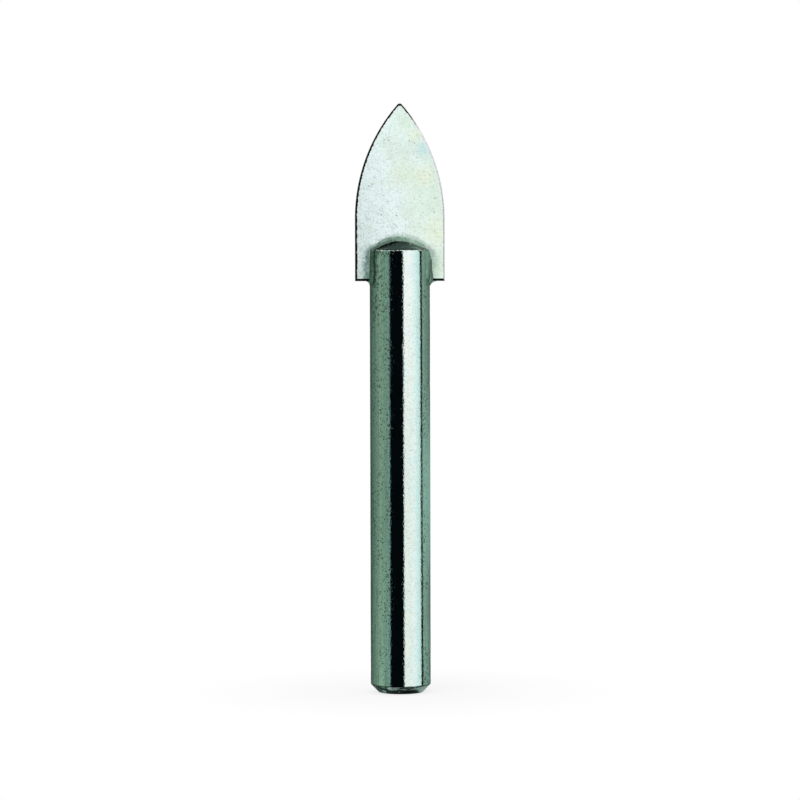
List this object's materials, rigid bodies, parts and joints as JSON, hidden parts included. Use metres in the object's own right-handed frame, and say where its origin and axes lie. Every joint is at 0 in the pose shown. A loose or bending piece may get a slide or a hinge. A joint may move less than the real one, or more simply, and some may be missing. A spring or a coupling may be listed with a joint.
{
  "type": "glass and tile drill bit",
  "caption": "Spear-point carbide blade with curved relieved lips, brazed into a slot across a plain round steel shank, for drilling glass and tile in a drill chuck.",
  "frame": {"origin": "centre of the flat end face that the bit stands on", "axes": "+Z along the bit's axis towards the point, +X along the blade's width, +Y through the blade's thickness"},
  "size_m": [0.012, 0.008, 0.078],
  "materials": {
    "shank_steel": "bright plated steel with fine dark pits",
    "carbide": "satin plated carbide with faint colour tints",
    "braze_metal": "darker plated braze, softly uneven"
  },
  "bodies": {
    "root": {"shank": "shank_steel", "carbide_tip": "carbide", "braze": "braze_metal"}
  },
  "joints": []
}
